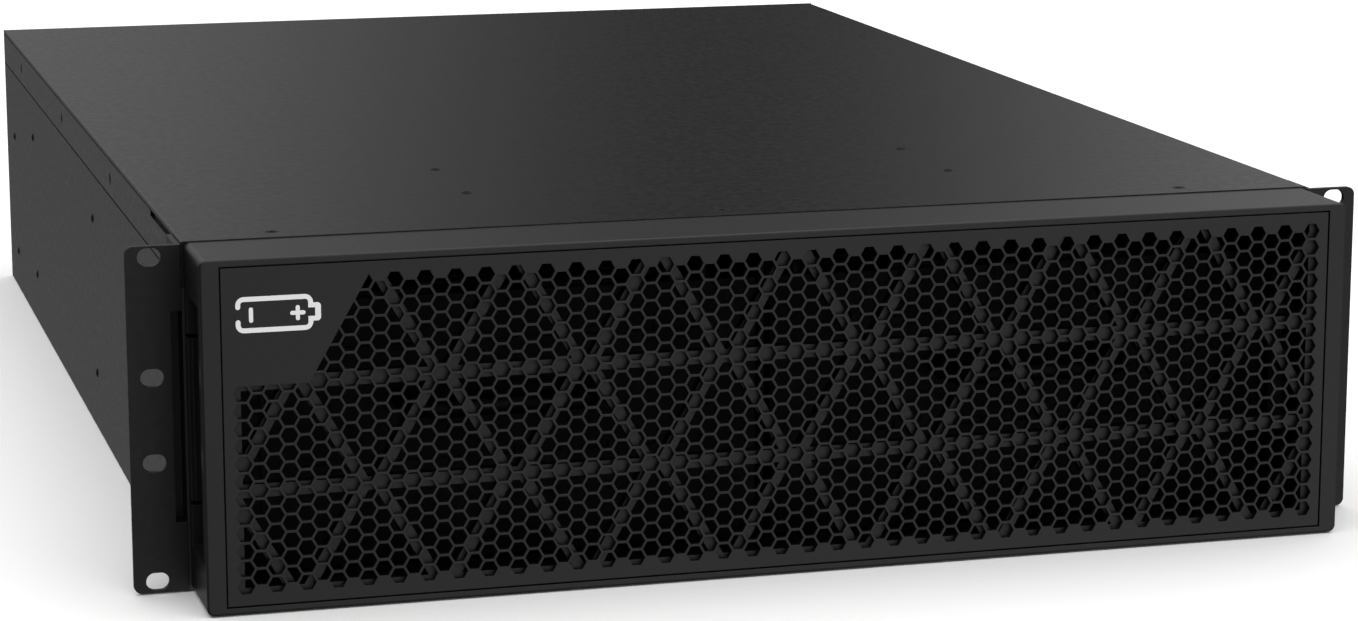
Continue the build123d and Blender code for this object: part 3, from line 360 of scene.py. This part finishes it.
# ---------------------------------------------------------------- added pieces
RIM = 0.3 * MM                     # rounding of a ring's rims
RING_STEPS = 40
JACK_WIDTH = 16 * MM
SPRINGS = 8
SPRING_PITCH = 1.02 * MM
SPRING_HALF = (0.19 * MM, 0.14 * MM)
SPRING_PATH = ((2.0, 0.0), (8.0, -2.6), (10.0, -2.2))     # mm in from the mouth, mm from the roof
ROOF_HEIGHT = 9.6 * MM
CHIP_GRID = 4
CELL_PLACES = ((0, 0), (1, 0), (2, 0), (2, 1), (1, 1), (0, 1), (0, 2), (1, 2))
CELL_WIDTH = 65.0 * MM
CELL_PITCH = (66.5 * MM, 152.5 * MM)
LID_INSET = 14 * MM
LID_ALONG = (40 * MM, 128 * MM)
LID_HIGH = 0.9 * MM
VENTS = 6
VENT_INSET = 18 * MM
VENT_START = 48 * MM
VENT_STEP = 14 * MM
VENT_SIZE = (2.2 * MM, 1.5 * MM)
# Depth and proudness of the near-black strips of painted shade in the cover's seams and folds.
SEAM_SUNK = 0.25 * MM
SEAM_PROUD = 0.05 * MM


def finish_mesh(name, bm, body, material):
    """Turns a bmesh in metres into a piece that rides on a body."""
    mesh = bpy.data.meshes.new(name)
    bmesh.ops.recalc_face_normals(bm, faces=bm.faces)
    bm.to_mesh(mesh)
    bm.free()
    piece = bpy.data.objects.new(name, mesh)
    bpy.context.scene.collection.objects.link(piece)
    mesh.materials.append(material)
    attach(piece, body)


def add_block(bm, low, high, bevel=0.0):
    """Box between two corners in metres, with its edges bevelled."""
    low = Vector(low)
    high = Vector(high)
    made = bmesh.ops.create_cube(bm, size=1.0)
    verts = made["verts"]
    bmesh.ops.scale(bm, vec=high - low, verts=verts)
    bmesh.ops.translate(bm, vec=(low + high) / 2, verts=verts)
    if bevel:
        edges = {edge for vert in verts for edge in vert.link_edges}
        bmesh.ops.bevel(bm, geom=list(edges), offset=bevel, segments=2, affect="EDGES")


def add_ring(bm, centre, axis, inner, outer, half_width):
    """Flat ring round an axis, with rounded rims."""
    axis = Vector(axis).normalized()
    turn = axis.to_track_quat("Z", "Y").to_matrix()
    profile = [(inner, -half_width), (outer - RIM, -half_width), (outer, -half_width + RIM),
               (outer, half_width - RIM), (outer - RIM, half_width), (inner, half_width)]
    loops = []
    for k in range(RING_STEPS):
        angle = math.tau * k / RING_STEPS
        around = Vector((math.cos(angle), math.sin(angle), 0))
        loops.append([bm.verts.new(Vector(centre) + turn @ (around * r + Vector((0, 0, h))))
                      for r, h in profile])
    for k in range(RING_STEPS):
        here, there = loops[k], loops[(k + 1) % RING_STEPS]
        for i in range(len(profile)):
            j = (i + 1) % len(profile)
            bm.faces.new((here[i], here[j], there[j], there[i]))


def add_bar(bm, x, start, end):
    """Thin flat bar between two points, each (y, z)."""
    half_x, half_z = SPRING_HALF
    a, b, c, d, e, f, g, h = [bm.verts.new((x + sx * half_x, y, z + sz * half_z))
                              for y, z in (start, end) for sx in (-1, 1) for sz in (-1, 1)]
    for face in ((a, b, d, c), (e, g, h, f), (a, e, f, b), (c, d, h, g), (a, c, g, e), (b, f, h, d)):
        bm.faces.new(face)


def jack_springs(materials):
    """Eight gilt contact springs in each signal jack, leaning back from the mouth's roof."""
    bm = bmesh.new()
    low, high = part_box("comms_jacks")
    path = [(high.y - inwards * MM, low.z + ROOF_HEIGHT + up * MM) for inwards, up in SPRING_PATH]
    for left in (low.x, high.x - JACK_WIDTH):
        for i in range(SPRINGS):
            x = left + JACK_WIDTH / 2 + (i - (SPRINGS - 1) / 2) * SPRING_PITCH
            for start, end in zip(path, path[1:]):
                add_bar(bm, x, start, end)
    finish_mesh("jack_springs", bm, "enclosure", materials["contact_metal"])


def board_parts(materials):
    """Chips and capacitors on the signal board."""
    low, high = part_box("comms_board")
    rng = random.Random(7)
    bm = bmesh.new()
    face = low.y
    for column in range(CHIP_GRID):
        for row in range(CHIP_GRID):
            x = low.x + (9 + 10 * column) * MM
            z = low.z + (8 + 11 * row) * MM
            half_x = rng.uniform(1.2, 3.4) * MM
            half_z = rng.uniform(1.0, 3.2) * MM
            tall = rng.uniform(0.9, 2.6) * MM
            add_block(bm, (x - half_x, face - tall, z - half_z),
                      (x + half_x, face - 0.02 * MM, z + half_z), 0.15 * MM)
    finish_mesh("board_parts", bm, "enclosure", materials["connector_plastic"])


def fuse_caps(materials):
    """Plated end caps of the main fuse."""
    low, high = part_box("main_fuse")
    middle = (low + high) / 2
    radius = (high.z - low.z) / 2
    bm = bmesh.new()
    for x in (low.x + 1.2 * MM, high.x - 1.2 * MM):
        add_ring(bm, (x, middle.y, middle.z), (1, 0, 0), radius - 0.1 * MM, radius + 0.05 * MM, 1.1 * MM)
    finish_mesh("fuse_caps", bm, "enclosure", materials["contact_metal"])


def cell_lids(side, materials):
    """A raised lid with plain vent ribs on every battery block of one module."""
    low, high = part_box(f"module_cells_{side}")
    bm = bmesh.new()
    sign = 1 if side == "right" else -1
    first = low.x if sign > 0 else high.x
    top = high.z
    for column, row in CELL_PLACES:
        near = first + sign * column * CELL_PITCH[0]
        x0, x1 = sorted((near, near + sign * CELL_WIDTH))
        y0 = low.y + row * CELL_PITCH[1]
        add_block(bm, (x0 + LID_INSET, y0 + LID_ALONG[0], top + 0.02 * MM),
                  (x1 - LID_INSET, y0 + LID_ALONG[1], top + LID_HIGH), 0.3 * MM)
        for i in range(VENTS):
            y = y0 + VENT_START + VENT_STEP * i
            add_block(bm, (x0 + VENT_INSET, y, top + LID_HIGH - 0.05 * MM),
                      (x1 - VENT_INSET, y + VENT_SIZE[0], top + VENT_SIZE[1]), 0.25 * MM)
    finish_mesh(f"cell_lids_{side}", bm, f"battery_module_{side}", materials["lid_plastic"])


def painted_seam_shade_strips(materials):
    """Painted shade: dark strips in the seam under each side lip and along each fold of the cover, standing
    in for the shadow of the seam and the fold.
    """
    low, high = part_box("top_cover")
    bm = bmesh.new()
    for side, face in ((-1, low.x), (1, high.x)):
        x0, x1 = sorted((face - side * SEAM_SUNK, face + side * SEAM_PROUD))
        # Each strip is painted shade, a near-black band where the seam and the fold throw shadow.
        for z0, z1 in ((low.z - 0.45 * MM, low.z + 0.15 * MM), (high.z - 1.65 * MM, high.z - 1.25 * MM)):
            add_block(bm, (x0, low.y + 1 * MM, z0), (x1, high.y - 1 * MM, z1))
    finish_mesh("painted_seam_shade_strips", bm, "enclosure", materials["seam_black"])


def add_pieces(materials):
    painted_seam_shade_strips(materials)
    jack_springs(materials)
    board_parts(materials)
    fuse_caps(materials)
    for side in ("left", "right"):
        cell_lids(side, materials)


bpy.context.scene.view_settings.view_transform = "Standard"
make_camera()
make_world()
make_floor()
MATERIALS = make_materials()
dress_nodes(MATERIALS)
add_pieces(MATERIALS)
